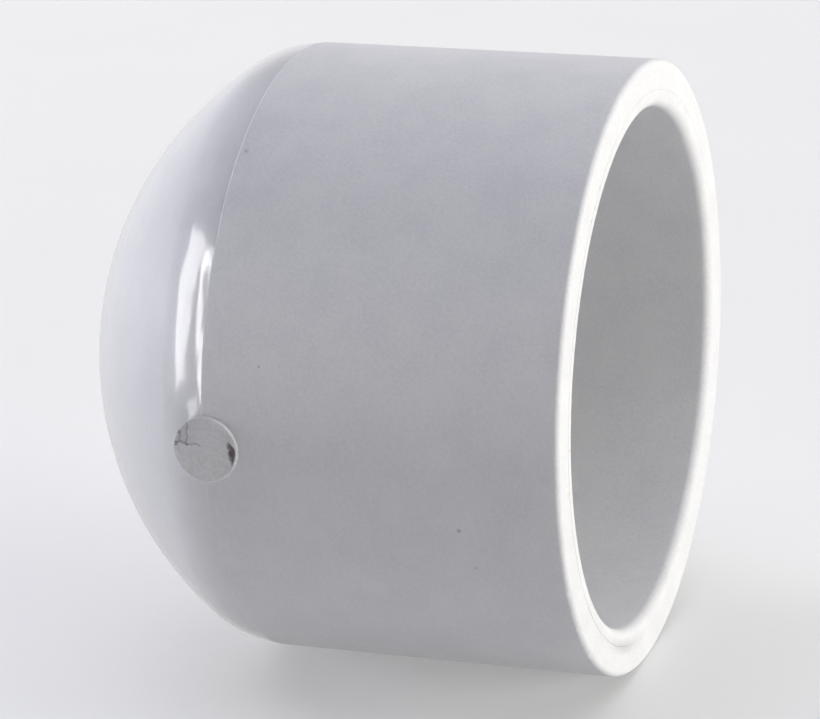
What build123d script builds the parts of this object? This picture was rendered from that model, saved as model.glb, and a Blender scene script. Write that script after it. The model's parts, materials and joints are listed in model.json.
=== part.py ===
"""Slip cap for 1-1/2 inch (DN 40) plastic pressure pipe, lying on its side.

Millimetres. +X runs along the socket and out of its mouth, the origin is the
centre of the mouth plane, +Z is up and the clipped gate faces -Y.
"""

from build123d import *
from math import asin, degrees, radians, tan
import os

os.makedirs("parts", exist_ok=True)

# ---- pipe socket -------------------------------------------------------
socket_dia = 48.56  # entrance diameter of the solvent-weld socket
socket_depth = 27.8  # how far the pipe goes in before it meets the stop
lead_in_radius = 0.96  # round that guides the pipe in at the mouth
stop_width = 1.8  # radial width of the step that stops the pipe
stop_edge_radius = 0.5

# ---- outside of the barrel ---------------------------------------------
mouth_dia = 57.4
barrel_length = 33.0  # mouth plane to the parting plane
barrel_draft = 0.15  # degrees, the barrel is widest at the parting plane
mouth_edge_radius = 0.45

# ---- domed end ---------------------------------------------------------
overall_length = 52.3
parting_step = 0.08  # the dome half of the mould is this much smaller in radius
knuckle_radius = 8.3
end_wall = 5.0
inner_knuckle_radius = 5.5

# ---- clipped gate ------------------------------------------------------
gate_dia = 6.1
gate_stand = 0.4  # height of the cut face above the barrel at the parting plane
gate_shift = 0.4  # from the parting plane towards the mouth
gate_edge = 0.12

# ---- derived -----------------------------------------------------------
socket_radius = socket_dia / 2
stop_bore_radius = socket_radius - stop_width
stop_x = -(lead_in_radius + socket_depth)
parting_radius = mouth_dia / 2 + barrel_length * tan(radians(barrel_draft))
dome_radius = parting_radius - parting_step
dome_height = overall_length - barrel_length
hollow_height = dome_height - end_wall


def crown_of(base_radius, height, knuckle):
    """Radius of the crown, and the angle it spans on each side of the axis."""
    reach = base_radius - knuckle
    crown = (height**2 + reach**2 - knuckle**2) / (2 * (height - knuckle))
    return crown, degrees(asin(reach / (crown - knuckle)))


crown_radius, crown_angle = crown_of(dome_radius, dome_height, knuckle_radius)
inner_crown_radius, inner_crown_angle = crown_of(
    stop_bore_radius, hollow_height, inner_knuckle_radius
)


# ---- socket barrel -----------------------------------------------------
with BuildPart() as socket_barrel:
    with BuildSketch(Plane.YZ) as mouth_outline:
        Circle(mouth_dia / 2)
    extrude(amount=-barrel_length, taper=-barrel_draft)

    with BuildSketch(Plane.YZ) as socket_outline:
        Circle(socket_radius)
    extrude(amount=stop_x, mode=Mode.SUBTRACT)

    with BuildSketch(Plane.YZ.offset(stop_x)) as stop_outline:
        Circle(stop_bore_radius)
    extrude(amount=-(barrel_length + stop_x), mode=Mode.SUBTRACT)

    mouth_face = socket_barrel.faces().sort_by(Axis.X)[-1]
    inner_edge, outer_edge = mouth_face.edges().sort_by(SortBy.RADIUS)
    fillet(inner_edge, radius=lead_in_radius)
    fillet(outer_edge, radius=mouth_edge_radius)

    round_edges = socket_barrel.edges().filter_by(GeomType.CIRCLE)
    stop_edge = round_edges.sort_by_distance((stop_x, stop_bore_radius, 0))[0]
    fillet(stop_edge, radius=stop_edge_radius)
socket_barrel.part.label = "socket_barrel"
export_step(socket_barrel.part, "parts/socket_barrel.step")


# ---- domed end ---------------------------------------------------------
with BuildPart() as domed_end:
    with BuildSketch(Plane.XY) as outer_half:
        with BuildLine() as outer_curve:
            base = Line((-barrel_length, 0), (-barrel_length, dome_radius))
            knuckle = JernArc(base @ 1, (-1, 0), knuckle_radius, 90 - crown_angle)
            crown = JernArc(knuckle @ 1, knuckle % 1, crown_radius, crown_angle)
            Line(crown @ 1, base @ 0)
        make_face()
    revolve(axis=Axis.X)

    with BuildSketch(Plane.XY) as hollow_half:
        with BuildLine() as hollow_curve:
            base = Line((-barrel_length, 0), (-barrel_length, stop_bore_radius))
            knuckle = JernArc(
                base @ 1, (-1, 0), inner_knuckle_radius, 90 - inner_crown_angle
            )
            crown = JernArc(
                knuckle @ 1, knuckle % 1, inner_crown_radius, inner_crown_angle
            )
            Line(crown @ 1, base @ 0)
        make_face()
    revolve(axis=Axis.X, mode=Mode.SUBTRACT)
domed_end.part.label = "domed_end"
export_step(domed_end.part, "parts/domed_end.step")


# ---- gate stub ---------------------------------------------------------
cut_plane = Plane(
    origin=(gate_shift - barrel_length, -(parting_radius + gate_stand), 0),
    x_dir=(1, 0, 0),
    z_dir=(0, -1, 0),
)

with BuildPart() as gate_stub:
    with BuildSketch(cut_plane) as cut_face:
        Circle(gate_dia / 2)
    extrude(amount=-gate_dia / 2)
    chamfer(gate_stub.faces().sort_by(Axis.Y)[0].edges(), length=gate_edge)
    add(socket_barrel.part, mode=Mode.SUBTRACT)
    add(domed_end.part, mode=Mode.SUBTRACT)
gate_stub.part.label = "gate_stub"
export_step(gate_stub.part, "parts/gate_stub.step")

for piece in (socket_barrel.part, domed_end.part, gate_stub.part):
    size = piece.bounding_box().size
    print(f"{piece.label}: {piece.volume:.1f} mm3, {size.X:.2f} x {size.Y:.2f} x {size.Z:.2f}")
print(f"crown radius {crown_radius:.2f}, inner crown radius {inner_crown_radius:.2f}")
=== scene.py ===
"""White PVC slip cap on a pale floor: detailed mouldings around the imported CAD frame.

The row frame is in metres: +X out of the socket's mouth, +Z up, origin at the
centre of the mouth plane. Lengths below are in millimetres and turned into
metres by MM where a mesh, a lamp or the camera takes them.
"""

import json
from math import acos, asin, atan2, ceil, cos, degrees, hypot, pi, radians, sin, tan

import bmesh
import bpy
from mathutils import Matrix, Vector, noise


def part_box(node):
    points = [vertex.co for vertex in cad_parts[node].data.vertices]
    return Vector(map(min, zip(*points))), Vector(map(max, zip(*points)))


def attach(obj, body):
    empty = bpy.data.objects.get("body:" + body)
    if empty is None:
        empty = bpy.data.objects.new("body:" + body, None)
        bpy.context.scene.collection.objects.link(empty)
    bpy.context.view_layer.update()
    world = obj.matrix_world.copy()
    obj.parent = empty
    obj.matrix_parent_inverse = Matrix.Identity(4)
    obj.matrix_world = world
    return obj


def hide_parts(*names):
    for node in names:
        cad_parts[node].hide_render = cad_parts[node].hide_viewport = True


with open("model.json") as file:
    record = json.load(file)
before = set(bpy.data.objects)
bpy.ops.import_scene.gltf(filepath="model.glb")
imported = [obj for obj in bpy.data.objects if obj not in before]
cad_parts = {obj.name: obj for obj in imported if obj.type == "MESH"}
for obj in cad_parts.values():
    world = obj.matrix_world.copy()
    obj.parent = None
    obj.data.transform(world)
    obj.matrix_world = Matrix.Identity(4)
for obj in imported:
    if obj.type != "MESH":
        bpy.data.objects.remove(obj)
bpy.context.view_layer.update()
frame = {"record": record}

MM = 0.001

# ---- sizes from the frame ----------------------------------------------
mounts = {m["name"]: m for m in frame["record"]["mounts"]}
barrel_low, barrel_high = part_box("socket_barrel")
dome_low, dome_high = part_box("domed_end")
gate_low, gate_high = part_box("gate_stub")

PARTING_X = barrel_low.x / MM
PARTING_R = barrel_high.z / MM
DOME_R = dome_high.z / MM
APEX_X = dome_low.x / MM
BORE_R = mounts["socket"]["dims"]["r_mm"]
STOP_X = mounts["stop"]["pos_m"][0] / MM
GATE_R = (gate_high.x - gate_low.x) / 2 / MM
GATE_X = (gate_high.x + gate_low.x) / 2 / MM
GATE_Y = gate_low.y / MM

# ---- sizes that a box doesn't give -------------------------------------
MOUTH_R = 28.7
LEAD_IN_OUTER_R = 25.24
STOP_WIDTH = 1.8
STOP_BORE_R = BORE_R - STOP_WIDTH
KNUCKLE_R = 8.3
END_WALL = 5.0
INNER_KNUCKLE_R = 5.5

TURN_STEPS = 600  # points in each circle about the axis
SHARP = radians(32)  # edges that turn more than this are shaded sharp
FILLET_STEPS = 8
LONGEST_SPAN = 0.9  # between two circles of the barrel
OUTER_STEP = 0.3  # between two circles of the dome's outside
HOLLOW_STEP = 1.4  # and of its hollow
KNUCKLE_EXTRA_STEPS = 6
ON_AXIS = 1e-6


def smooth(low, high, value):
    """0 at low and 1 at high, easing in and out. Low may be the larger."""
    t = min(1, max(0, (value - low) / (high - low)))
    return t * t * (3 - 2 * t)


# ---- outlines ----------------------------------------------------------
def rounded(corners):
    """Points along (x, r, fillet radius) corners, with each fillet as an arc."""
    points = [corners[0][:2]]
    for before, corner, after in zip(corners, corners[1:], corners[2:]):
        here = Vector(corner[:2])
        radius = corner[2]
        back = (Vector(before[:2]) - here).normalized()
        on = (Vector(after[:2]) - here).normalized()
        half = back.angle(on) / 2
        if radius == 0:
            points.append(tuple(here))
            continue
        reach = radius / tan(half)
        centre = here + (back + on).normalized() * radius / sin(half)
        start = here + back * reach - centre
        turn = start.angle_signed(here + on * reach - centre)
        for i in range(FILLET_STEPS + 1):
            arm = Matrix.Rotation(-turn * i / FILLET_STEPS, 2) @ start
            points.append(tuple(centre + arm))
    points.append(corners[-1][:2])
    return points


def divided(points, longest):
    """The same outline with no span longer than longest."""
    out = [points[0]]
    for (x0, r0), (x1, r1) in zip(points, points[1:]):
        spans = max(1, ceil(hypot(x1 - x0, r1 - r0) / longest))
        out += [
            (x0 + (x1 - x0) * i / spans, r0 + (r1 - r0) * i / spans)
            for i in range(1, spans + 1)
        ]
    return out


def torisphere(base_x, base_r, height, knuckle, step):
    """Knuckle and crown from the rim of a dome to its apex on the axis."""
    reach = base_r - knuckle
    crown = (height**2 + reach**2 - knuckle**2) / (2 * (height - knuckle))
    half = asin(reach / (crown - knuckle))
    apex_x = base_x - height
    points = []
    knuckle_steps = int(knuckle * (pi / 2 - half) / step) + KNUCKLE_EXTRA_STEPS
    for i in range(knuckle_steps + 1):
        a = pi / 2 - (pi / 2 - half) * i / knuckle_steps
        points.append((base_x - knuckle * cos(a), reach + knuckle * sin(a)))
    crown_steps = int(crown * half / step)
    for i in range(1, crown_steps + 1):
        a = half * (1 - i / crown_steps)
        points.append((apex_x + crown * (1 - cos(a)), crown * sin(a)))
    return points


def turned(name, section):
    """A closed section turned about X. A point on the axis becomes one vertex."""
    mesh = bmesh.new()
    rings = []
    for x, r in section:
        if r < ON_AXIS:
            rings.append([mesh.verts.new((x * MM, 0, 0))] * TURN_STEPS)
            continue
        rings.append([
            mesh.verts.new((
                x * MM,
                r * cos(2 * pi * i / TURN_STEPS) * MM,
                r * sin(2 * pi * i / TURN_STEPS) * MM,
            ))
            for i in range(TURN_STEPS)
        ])
    for a, b in zip(rings, rings[1:] + rings[:1]):
        for i in range(TURN_STEPS):
            j = (i + 1) % TURN_STEPS
            corners = dict.fromkeys((a[i], a[j], b[j], b[i]))
            if len(corners) > 2:
                mesh.faces.new(corners)
    bmesh.ops.recalc_face_normals(mesh, faces=mesh.faces)
    return finished(name, mesh)


def finished(name, mesh):
    """An object from a bmesh, shaded smooth except across sharp corners."""
    data = bpy.data.meshes.new(name)
    for edge in mesh.edges:
        edge.smooth = not edge.is_manifold or edge.calc_face_angle() < SHARP
    for face in mesh.faces:
        face.smooth = True
    mesh.to_mesh(data)
    mesh.free()
    piece = bpy.data.objects.new(name, data)
    bpy.context.scene.collection.objects.link(piece)
    return piece


# ---- barrel ------------------------------------------------------------
LIP_R = 0.2  # round on the barrel's edge at the parting line
LIP_STEPS = 5
MOUTH_EDGE_R = 0.5
WITNESS_R = 25.9  # ring that the stripper sleeve leaves on the rim face
WITNESS_WIDTH = 0.12
WITNESS_DEPTH = 0.07
WITNESS_EDGE_R = 0.03
WITNESS_ROOT_R = 0.02
FLASH_HEIGHT = 0.03  # the flash beside that ring is the only part at x = 0
FLASH_OFFSET = 1.3  # of half the ring's width, towards the bore
STOP_ROOT_R = 0.15
STOP_EDGE_R = 0.5


def parting_lip():
    """Points where the barrel's edge rolls down to the dome."""
    steep = acos(1 - (PARTING_R - DOME_R) / LIP_R)
    return [
        (
            PARTING_X + LIP_R * (sin(steep) - sin(steep * (1 - i / LIP_STEPS))),
            PARTING_R - LIP_R * (1 - cos(steep * (1 - i / LIP_STEPS))),
            0,
        )
        for i in range(LIP_STEPS + 1)
    ]


def barrel_outline():
    """The barrel's whole section, once round from the parting plane."""
    groove = WITNESS_WIDTH / 2
    section = [
        (PARTING_X, STOP_BORE_R, 0),
        *parting_lip(),
        (-FLASH_HEIGHT, MOUTH_R, MOUTH_EDGE_R),
        (-FLASH_HEIGHT, WITNESS_R + groove, WITNESS_EDGE_R),
        (-WITNESS_DEPTH, WITNESS_R, WITNESS_ROOT_R),
        (0, WITNESS_R - FLASH_OFFSET * groove, 0),
        (-FLASH_HEIGHT, BORE_R, LEAD_IN_OUTER_R - BORE_R),
        (STOP_X, BORE_R, STOP_ROOT_R),
        (STOP_X, STOP_BORE_R, STOP_EDGE_R),
        (PARTING_X, STOP_BORE_R, 0),
    ]
    return divided(rounded(section), LONGEST_SPAN)[:-1]


RIPPLE_HEIGHT = 0.035  # waviness that the polished mould leaves on the dome
RIPPLE_LENGTH = 2.4
RIPPLE_STRETCH = 3.0  # they run round the cap, so they are narrow along X


def polish(piece):
    """Waviness of the dome's surface, as real relief in the mesh."""
    normals = [vert.normal.copy() for vert in piece.data.vertices]
    for vert, normal in zip(piece.data.vertices, normals):
        point = vert.co / (RIPPLE_LENGTH * MM)
        point.x *= RIPPLE_STRETCH
        wave = 0.5 * noise.noise(point) - 0.5  # only ever inwards
        vert.co += normal * wave * RIPPLE_HEIGHT * MM


# Dents in the mouth's outer edge: clock angle from -Y towards +Z, and depth
NICKS = ((-25, 0.14), (-35, 0.1), (-46, 0.16))
NICK_R = 0.55
NICK_INSET = 0.1  # from the mouth's outside to a nick's middle
NICK_SLOPE = 0.7  # a nick is pushed in equally along the axis and towards it
FACE_ROUGHNESS = 0.012
FACE_GRAIN = 0.7
WORN_LENGTH = 1.2  # how far from the mouth the wear reaches


def ring_point(x, r, clock):
    """A point in millimetres, from its place along the axis and round it."""
    a = radians(clock)
    return Vector((x, -r * cos(a), r * sin(a)))


def wear(piece):
    """Small dents and unevenness around the mouth, cut into the mesh."""
    dents = [(ring_point(0, MOUTH_R - NICK_INSET, clock), depth) for clock, depth in NICKS]
    for vert in piece.data.vertices:
        if vert.co.x < -WORN_LENGTH * MM:
            continue
        point = vert.co / MM
        rough = noise.fractal(point / FACE_GRAIN, 1.0, 2.0, 3) - 1
        vert.co.x += min(0, FACE_ROUGHNESS * rough) * MM
        for dent, depth in dents:
            share = smooth(NICK_R, 0, (point - dent).length)
            inwards = Vector((-1, -point.y / MOUTH_R, -point.z / MOUTH_R)) * NICK_SLOPE
            vert.co += inwards * share * depth * MM


def dome_outline():
    """The dome's section: over its outside to the crown, and back in the hollow."""
    height = PARTING_X - APEX_X
    outer = torisphere(PARTING_X, DOME_R, height, KNUCKLE_R, OUTER_STEP)
    hollow = torisphere(
        PARTING_X, STOP_BORE_R, height - END_WALL, INNER_KNUCKLE_R, HOLLOW_STEP
    )
    return outer + hollow[::-1]


# ---- gate scar ---------------------------------------------------------
SCAR_RINGS = 120
SCAR_TURNS = 320
SCAR_EDGE = 0.08
EDGE_STEPS = 7
SCAR_ROOT = 1.9  # how far the stub reaches into the wall
ROOT_STEPS = 8
SCAR_RECESS = 0.13  # the cut face lies this far inside its own highest point
OUT_OF_ROUND = 0.008

# Lumps of the cut face: size, seed and height
SCAR_LUMPS = ((1.1, 3.0, 0.06), (0.4, 5.0, 0.03), (0.1, 8.0, 0.008))
FALL = 0.24  # of the cut face towards its upper left edge

PIT_R = 2.84  # outer edge of the torn crescent
PIT_LEAN = 0.4  # how much nearer the middle its upper end is
PIT_WIDTH = 0.8
PIT_HALF_ANGLE = 28
PIT_DEPTH = 0.22
# How dark the pit is painted: shade in the recess, with some grime in it
PIT_SHADE_AND_DIRT = 0.9
LIP_INNER_R, LIP_OUTER_R = 2.8, 2.95
LIP_HEIGHT, BURR_HEIGHT = 0.09, 0.05

CHIP_U, CHIP_V = -1.72, 0.45  # corner of the chip at the upper left
CHIP_DEPTH = 0.12
# How much darker the face is painted towards its upper left
CHIP_DARKENING = 0.1
# Cracks up through the chip: distance left of its corner, top end and strength, which
# deepens each crack and paints shade in it, partly grime
CRACKS = ((0, 2.75, 0.6), (0.75, 2.1, 0.4))
CRACK_DEPTH = 0.12
# The ledge's groove: its depth, and how dark it is painted, as shade partly with grime
LEDGE_DEPTH, LEDGE_SHADE_AND_DIRT = 0.07, 0.15
FLECKS = (172, 150)  # angles of the specks caught in the left edge
FLECK_DIRT = 0.6


def lumps(u, v, size, seed):
    """Smooth noise from -1 to 1 on the cut face."""
    return noise.noise(Vector((u / size, v / size, seed)))


def torn_crescent(u, v, r, angle):
    """Depth share of the pit that the runner left inside the +X edge."""
    inset = PIT_R - PIT_LEAN * smooth(2, 26, angle) - r
    ragged = 0.16 * lumps(u, v, 0.32, 2.0)
    width = PIT_WIDTH * (1 - ((angle + 2) / PIT_HALF_ANGLE) ** 2) + ragged
    return smooth(0, 0.1, inset) * smooth(width, width - 0.3, inset)


def standing_edge(u, v, r, angle):
    """Height of the lip around the crescent and of the burr above it."""
    ragged = 1 + 0.5 * lumps(u, v, 0.5, 11.0)
    rise = ragged * smooth(LIP_INNER_R, LIP_OUTER_R, r)
    lip = LIP_HEIGHT * smooth(62, 22, abs(angle + 10))
    burr = BURR_HEIGHT * smooth(26, 14, abs(angle - 50))
    return rise * (lip + burr)


def chip(u, v):
    """Depth and darkening of the chip: a ledge below it and two cracks through it."""
    ledge = CHIP_V + 0.1 * sin(4.5 * u) + 0.05 * sin(15 * u)
    above = smooth(ledge - 0.04, ledge + 0.04, v)
    side = CHIP_U + 0.06 * sin(7 * v)
    depth = CHIP_DEPTH * above * smooth(side + 0.04, side - 0.1, u)
    # the face is painted darker towards its upper left
    dirt_and_shade = CHIP_DARKENING * above * smooth(-0.2, -1.4, u)
    for left, reach, strength in CRACKS:
        across = smooth(0.12, 0.03, abs(u - side + left))
        crack = across * above * smooth(reach, reach - 0.3, v)
        depth += CRACK_DEPTH * strength * crack
        # painted shade along each crack, partly grime
        dirt_and_shade = max(dirt_and_shade, strength * crack)
    # along the ledge below the chip: a groove, deepened and painted with shade, partly grime
    groove = smooth(0.1, 0.02, abs(v - ledge)) * smooth(-0.1, -0.6, u)
    return depth + LEDGE_DEPTH * groove, max(dirt_and_shade, LEDGE_SHADE_AND_DIRT * groove)


def scar_relief(u, v):
    """Height of the cut face at (u along +X, v up), and how dark it is painted there: shade
    in the pit and grooves, partly grime, and specks.
    """
    r = hypot(u, v)
    angle = degrees(atan2(v, u))
    pit = torn_crescent(u, v, r, angle)
    chip_depth, chip_darkening = chip(u, v)
    height = sum(tall * lumps(u, v, size, seed) for size, seed, tall in SCAR_LUMPS)
    height += standing_edge(u, v, r, angle) - PIT_DEPTH * pit - chip_depth
    height -= FALL * smooth(0.4, 2.8, v) * smooth(1.9, -0.2, u)
    # painted shade over the whole pit, darkest across its middle, with some grime in it
    pit_shade_and_dirt = PIT_SHADE_AND_DIRT * pit * (0.75 + 0.25 * smooth(0.9, 0.2, abs(v + 0.1)))
    flecks = [
        FLECK_DIRT * smooth(6, 2, abs(angle - at)) * smooth(2.55, 2.8, r) for at in FLECKS
    ]
    return height, max(pit_shade_and_dirt, chip_darkening, *flecks)


def scar_circles():
    """Radius and sink of each circle, from the face over its edge to the root."""
    flat = GATE_R - SCAR_EDGE
    circles = [(flat * k / SCAR_RINGS, 0) for k in range(1, SCAR_RINGS + 1)]
    for k in range(1, EDGE_STEPS + 1):
        a = pi / 2 * k / EDGE_STEPS
        circles.append((flat + SCAR_EDGE * sin(a), SCAR_EDGE * (1 - cos(a))))
    for k in range(1, ROOT_STEPS + 1):
        sink = SCAR_EDGE + (SCAR_ROOT - SCAR_EDGE) * k / ROOT_STEPS
        circles.append((GATE_R, sink))
    return circles


def gate_scar():
    """The gate's stub with its torn cut face. The mesh carries how dark each point is
    painted: shade in the pit and grooves, partly grime, and specks.
    """
    mesh = bmesh.new()
    dirt_and_shade_layer = mesh.verts.layers.float.new("dirt_and_shade")
    top = GATE_Y + SCAR_RECESS
    centre = mesh.verts.new((GATE_X * MM, (top - scar_relief(0, 0)[0]) * MM, 0))
    made = []
    for r, sink in scar_circles():
        keep = smooth(SCAR_ROOT, SCAR_EDGE, sink)
        verts = []
        for i in range(SCAR_TURNS):
            a = 2 * pi * i / SCAR_TURNS
            true_share = 1 - OUT_OF_ROUND * (1 + lumps(cos(a), sin(a), 0.6, 7.7))
            u, v = r * true_share * cos(a), r * true_share * sin(a)
            height, dirt_and_shade = scar_relief(u, v)
            y = max(GATE_Y, top - height * keep + sink)
            vert = mesh.verts.new(((GATE_X + u) * MM, y * MM, v * MM))
            vert[dirt_and_shade_layer] = dirt_and_shade * keep
            verts.append(vert)
        made.append(verts)
    for i in range(SCAR_TURNS):
        mesh.faces.new((centre, made[0][i], made[0][(i + 1) % SCAR_TURNS]))
    for a, b in zip(made, made[1:]):
        for i in range(SCAR_TURNS):
            j = (i + 1) % SCAR_TURNS
            mesh.faces.new((a[i], b[i], b[j], a[j]))
    mesh.faces.new(made[-1])
    bmesh.ops.recalc_face_normals(mesh, faces=mesh.faces)
    return finished("gate_scar", mesh)


# ---- materials ---------------------------------------------------------
class Nodes:
    """Adds nodes to a material's tree in one short call each."""

    def __init__(self, name):
        self.material = bpy.data.materials.new(name)
        self.material.use_nodes = True
        self.tree = self.material.node_tree
        self.tree.nodes.clear()

    def add(self, kind, sockets=(), **settings):
        node = self.tree.nodes.new("ShaderNode" + kind)
        for key, value in settings.items():
            setattr(node, key, value)
        for key, value in dict(sockets).items():
            if isinstance(value, bpy.types.NodeSocket):
                self.tree.links.new(value, node.inputs[key])
            else:
                node.inputs[key].default_value = value
        return node


CLOUD_SCALE, SPECK_SCALE = 260.0, 3600.0  # of the noise in the colour, per metre
PVC_IOR, COAT_IOR = 1.53, 1.6
SCATTER_DEPTH = 0.9


def pvc(name, light, dark, roughness, grain, coat, subsurface):
    """White PVC: cloudy and finely speckled colour, and a grain where one is given.

    Roughness is a range, coat is a weight and its roughness, and grain is the
    scale and height of the moulded texture, or None on a polished surface.
    """
    n = Nodes(name)
    place = n.add("TexCoord").outputs["Object"]
    cloud = n.add("TexNoise", {"Vector": place, "Scale": CLOUD_SCALE, "Detail": 3.0})
    speck = n.add("TexNoise", {"Vector": place, "Scale": SPECK_SCALE, "Detail": 1.0})
    both = n.add("Math", {0: cloud.outputs["Fac"], 1: speck.outputs["Fac"]}, operation="ADD")
    blend = n.add("MapRange", {
        "Value": both.outputs["Value"], "From Min": 0.75, "From Max": 1.25,
    })
    colour = n.add("Mix", data_type="RGBA")
    n.tree.links.new(blend.outputs["Result"], colour.inputs["Factor"])
    colour.inputs["A"].default_value = (*dark, 1)
    colour.inputs["B"].default_value = (*light, 1)
    rough = n.add("MapRange", {
        "Value": cloud.outputs["Fac"], "From Min": 0.3, "From Max": 0.7,
        "To Min": roughness[0], "To Max": roughness[1],
    })
    shader = n.add("BsdfPrincipled", {
        "Base Color": colour.outputs["Result"],
        "Roughness": rough.outputs["Result"],
        "IOR": PVC_IOR,
        "Coat Weight": coat[0],
        "Coat Roughness": coat[1],
        "Coat IOR": COAT_IOR,
        "Subsurface Weight": subsurface,
        "Subsurface Radius": (1.0, 0.9, 0.8),
        "Subsurface Scale": SCATTER_DEPTH * MM,
    })
    if grain:
        fine = n.add("TexNoise", {"Vector": place, "Scale": grain[0], "Detail": 4.0})
        bump = n.add("Bump", {
            "Height": fine.outputs["Fac"], "Strength": 1.0, "Distance": grain[1] * MM,
        })
        n.tree.links.new(bump.outputs["Normal"], shader.inputs["Normal"])
    output = n.add("OutputMaterial")
    n.tree.links.new(shader.outputs["BSDF"], output.inputs["Surface"])
    return n, shader, colour


satin, satin_shader, satin_colour = pvc(
    "satin_pvc", (0.662, 0.662, 0.676), (0.606, 0.6, 0.632), (0.42, 0.5), (2600.0, 0.02),
    (0.0, 0.1), 0.15,
)
# The glossy PVC is the same plastic as the satin, but its colour is set about 8% lighter:
# partly painted light, standing in for the floor's reflection that brightens the dome along
# the parting line
glossy, glossy_shader, glossy_colour = pvc(
    "glossy_pvc", (0.705, 0.705, 0.72), (0.67, 0.67, 0.69), (0.285, 0.315), None,
    (1.0, 0.1), 0.15,
)
cut_white, cut_shader, cut_colour = pvc(
    "cut_pvc", (0.65, 0.64, 0.66), (0.56, 0.56, 0.56), (0.5, 0.65), (3000.0, 0.04),
    (0.0, 0.1), 0.1,
)

# Dirt on the barrel and its mouth. Each mark: place along X, radius, clock angle from -Y
# towards +Z, size and strength
BARREL_MARKS = (
    (-9.5, 28.7, -12, 0.32, 0.5),
    (-8.4, 28.7, -20, 0.24, 0.35),
    (-27.6, 28.75, 15.6, 0.2, 0.45),
    (-32.3, 28.78, 56, 0.4, 0.3),
    (0, 25.45, 3, 0.25, 0.5),
    (0, 25.9, 49, 0.3, 0.25),
    (0, 25.9, 52, 0.3, 0.3),
    (0, 25.9, 57, 0.3, 0.25),
)
# Painted shade, partly grime, along the witness ring at the bottom of the rim, darkest in
# its middle
GROOVE_SHADE_START, GROOVE_SHADE_DARKEST, GROOVE_SHADE_END = -82, -68, -48
GROOVE_SHADE = tuple(
    (0, WITNESS_R, clock, 0.95, 0.06 + 0.24 * smooth(12, 0, abs(clock - GROOVE_SHADE_DARKEST)))
    for clock in range(GROOVE_SHADE_START, GROOVE_SHADE_END)
)
RIM_STAINS = ((0, 26.2, -5.5, 0.4, 0.6), (0, 25.5, 120.6, 0.45, 0.35))
# Reddish brown for grime specks, also used for painted shade in the rim's groove and in the
# scar
DIRT_AND_SHADE = (0.085, 0.042, 0.06, 1)
YELLOW = (0.45, 0.47, 0.2, 1)


def tinted(n, shader, colour, amount, tint):
    """Mixes a tint over the colour so far, for stains and for painted shade, and gives the
    new colour.
    """
    mix = n.add("Mix", data_type="RGBA")
    n.tree.links.new(amount, mix.inputs["Factor"])
    n.tree.links.new(colour.outputs["Result"], mix.inputs["A"])
    mix.inputs["B"].default_value = tint
    n.tree.links.new(mix.outputs["Result"], shader.inputs["Base Color"])
    return mix


def mark(n, shader, colour, marks, tint):
    """Soft spots of a tint, for stains and for painted shade, placed by the piece's own
    coordinates.
    """
    place = n.add("TexCoord").outputs["Object"]
    total = None
    for x, r, clock, size, strength in marks:
        away = n.add("VectorMath", {0: place}, operation="DISTANCE")
        away.inputs[1].default_value = ring_point(x, r, clock) * MM
        spot = n.add("MapRange", {
            "Value": away.outputs["Value"], "From Min": 0.0, "From Max": size * MM,
            "To Min": strength, "To Max": 0.0,
        }, interpolation_type="SMOOTHSTEP").outputs["Result"]
        if total is None:
            total = spot
        else:
            total = n.add("Math", {0: total, 1: spot}, operation="MAXIMUM").outputs["Value"]
    return tinted(n, shader, colour, total, tint)


def soil_and_shade(n, shader, colour):
    """Shows the mesh's own darkening values in reddish brown: painted shade in the scar's
    pit and grooves, partly grime, and specks.
    """
    amount = n.add("Attribute", attribute_name="dirt_and_shade").outputs["Fac"]
    tinted(n, shader, colour, amount, DIRT_AND_SHADE)


soil_and_shade(cut_white, cut_shader, cut_colour)
# grime spots on the barrel, and painted shade along the witness ring at the bottom of the
# rim
soiled_and_shaded = mark(satin, satin_shader, satin_colour, BARREL_MARKS + GROOVE_SHADE, DIRT_AND_SHADE)
mark(satin, satin_shader, soiled_and_shaded, RIM_STAINS, YELLOW)

# ---- pieces ------------------------------------------------------------
barrel = turned("barrel_moulding", barrel_outline())
wear(barrel)
dome = turned("dome_moulding", dome_outline())
polish(dome)
scar = gate_scar()
for piece, material, node, slot in (
    (barrel, satin, "socket_barrel", "satin_pvc"),
    (dome, glossy, "domed_end", "glossy_pvc"),
    (scar, cut_white, "gate_stub", "cut_pvc"),
):
    piece.data.materials.append(material.material)
    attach(piece, "root")
    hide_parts(node)

# ---- camera ------------------------------------------------------------
AZIMUTH, ELEVATION, ROLL = radians(19.4), radians(19.43), radians(-2.37)
DISTANCE = 12 * MOUTH_R
MIDDLE_X = -0.6 * MOUTH_R
LENS = 160.3
CLIP_START = 10
PAN, TILT = -5.69, -0.39  # from MIDDLE_X on the axis, along the picture


def direction(azimuth, elevation):
    """Unit vector away from the cap. Azimuth 0 is -Y and 90 is +X."""
    return Vector((
        sin(azimuth) * cos(elevation), -cos(azimuth) * cos(elevation), sin(elevation)
    ))


def aimed_camera():
    """The photo's viewpoint, from a fit of the cap's outline."""
    out = direction(AZIMUTH, ELEVATION)
    turn = out.to_track_quat("Z", "Y").to_matrix() @ Matrix.Rotation(ROLL, 3, "Z")
    middle = Vector((MIDDLE_X, 0, 0))
    camera = bpy.data.objects.new("camera", bpy.data.cameras.new("camera"))
    camera.data.lens = LENS
    camera.data.clip_start = CLIP_START * MM
    camera.rotation_euler = turn.to_euler()
    camera.location = (middle + turn @ Vector((PAN, TILT, DISTANCE))) * MM
    bpy.context.scene.collection.objects.link(camera)
    bpy.context.scene.camera = camera


aimed_camera()

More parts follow.
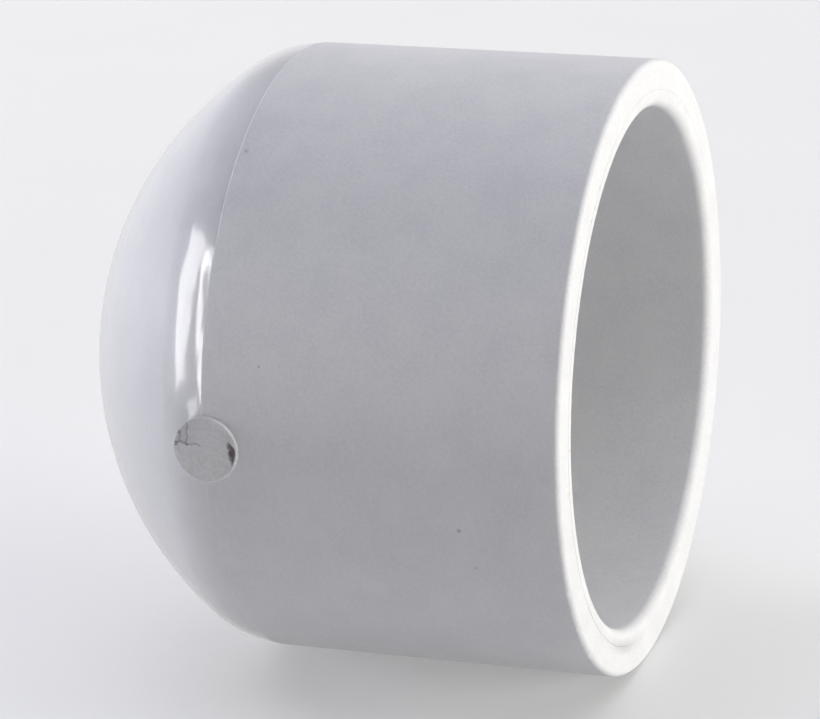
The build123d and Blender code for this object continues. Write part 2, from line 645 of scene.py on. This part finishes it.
# ---- floor and light ---------------------------------------------------
FLOOR_R = 3000.0
FLOOR_GLOW = 0.22
FLOOR_DARK, FLOOR_LIGHT = 0.59, 0.61
HORIZON, OVERHEAD = 0.82, 0.12  # brightness of the mirrored room
FADED_HEIGHT = 0.6  # where the fade upwards ends, with 1 straight up
BELOW = 0.45  # how fast the room fades below the horizon, against above it


def pale_floor():
    """A plain mottled disc that the barrel lies on."""
    mesh = bmesh.new()
    bmesh.ops.create_circle(mesh, cap_ends=True, segments=96, radius=FLOOR_R * MM)
    floor = finished("floor", mesh)
    floor.location = (PARTING_X / 2 * MM, 0, barrel_low.z)
    n = Nodes("pale_floor")
    place = n.add("TexCoord").outputs["Object"]
    mottle = n.add("TexNoise", {"Vector": place, "Scale": 40.0, "Detail": 3.0})
    colour = n.add("MapRange", {
        "Value": mottle.outputs["Fac"], "To Min": FLOOR_DARK, "To Max": FLOOR_LIGHT,
    })
    shader = n.add("BsdfPrincipled", {
        "Base Color": colour.outputs["Result"], "Roughness": 0.8,
        "Emission Color": (1, 1, 1, 1), "Emission Strength": FLOOR_GLOW,
    })
    output = n.add("OutputMaterial")
    n.tree.links.new(shader.outputs["BSDF"], output.inputs["Surface"])
    floor.data.materials.append(n.material)
    floor.visible_glossy = False  # the room carries on below the horizon instead


pale_floor()

WHITE = (1, 1, 1)
COOL = (0.84, 0.85, 1.0)
WARM = (1.0, 0.99, 0.91)
LAMP_DISTANCE = 900


def panel(name, width, height, azimuth, elevation, watts, colour=WHITE, roll=0, kind="soft"):
    """An area lamp that looks at the cap. Azimuth 0 is -Y, 90 is +X.

    A soft lamp only lights, and a glint is only seen mirrored in the gloss.
    """
    away = direction(radians(azimuth), radians(elevation))
    lamp = bpy.data.lights.new(name, "AREA")
    lamp.shape = "RECTANGLE"
    lamp.size, lamp.size_y = width * MM, height * MM
    lamp.energy = watts
    lamp.color = colour
    holder = bpy.data.objects.new(name, lamp)
    holder.location = Vector((PARTING_X / 2, 0, 0)) * MM + away * LAMP_DISTANCE * MM
    turn = away.to_track_quat("Z", "Y").to_matrix() @ Matrix.Rotation(radians(roll), 3, "Z")
    holder.rotation_euler = turn.to_euler()
    holder.visible_glossy = kind != "soft"
    holder.visible_diffuse = kind == "soft"
    bpy.context.scene.collection.objects.link(holder)


panel("left_low", 500, 200, -90, 6, 4.7, COOL)
panel("left_high", 500, 300, -115, 35, 2.5)
panel("right_low", 600, 200, 92, 6, 8.7, WARM)
panel("top_window", 900, 900, 0, 88, 4.7, COOL)
panel("back_window", 900, 500, 180, 35, 2.3, WARM)
panel("mouth_high", 400, 400, 92, 50, 1.4, WARM)
panel("wide_pane", 320, 740, -57.5, 19.5, 3.9, roll=19, kind="glint")
panel("thin_pane", 90, 860, -30.5, 19.5, 2.2, roll=22, kind="glint")
panel("cross_pane", 260, 110, -43, 42, 0.36, roll=19, kind="glint")
panel("sill_pane", 200, 110, -34, -7, 0.3, roll=19, kind="glint")


def room():
    """Surroundings as bright as the floor at the horizon, dimmer above and below."""
    world = bpy.data.worlds.new("room")
    world.use_nodes = True
    tree = world.node_tree
    split = tree.nodes.new("ShaderNodeSeparateXYZ")
    place = tree.nodes.new("ShaderNodeTexCoord").outputs["Generated"]
    tree.links.new(place, split.inputs["Vector"])
    fade = tree.nodes.new("ShaderNodeMapRange")
    fade.interpolation_type = "SMOOTHSTEP"
    for socket, value in {
        "From Min": 0.0, "From Max": FADED_HEIGHT, "To Min": HORIZON, "To Max": OVERHEAD,
    }.items():
        fade.inputs[socket].default_value = value
    below = tree.nodes.new("ShaderNodeMath")
    below.operation = "MULTIPLY"
    below.inputs[1].default_value = -BELOW
    tree.links.new(split.outputs["Z"], below.inputs[0])
    height = tree.nodes.new("ShaderNodeMath")
    height.operation = "MAXIMUM"
    tree.links.new(split.outputs["Z"], height.inputs[0])
    tree.links.new(below.outputs["Value"], height.inputs[1])
    tree.links.new(height.outputs["Value"], fade.inputs["Value"])
    background = tree.nodes["Background"]
    background.inputs["Color"].default_value = (1, 1, 1, 1)
    tree.links.new(fade.outputs["Result"], background.inputs["Strength"])
    world.cycles_visibility.diffuse = False  # the room is only mirrored
    bpy.context.scene.world = world


room()
bpy.context.scene.view_settings.view_transform = "Standard"
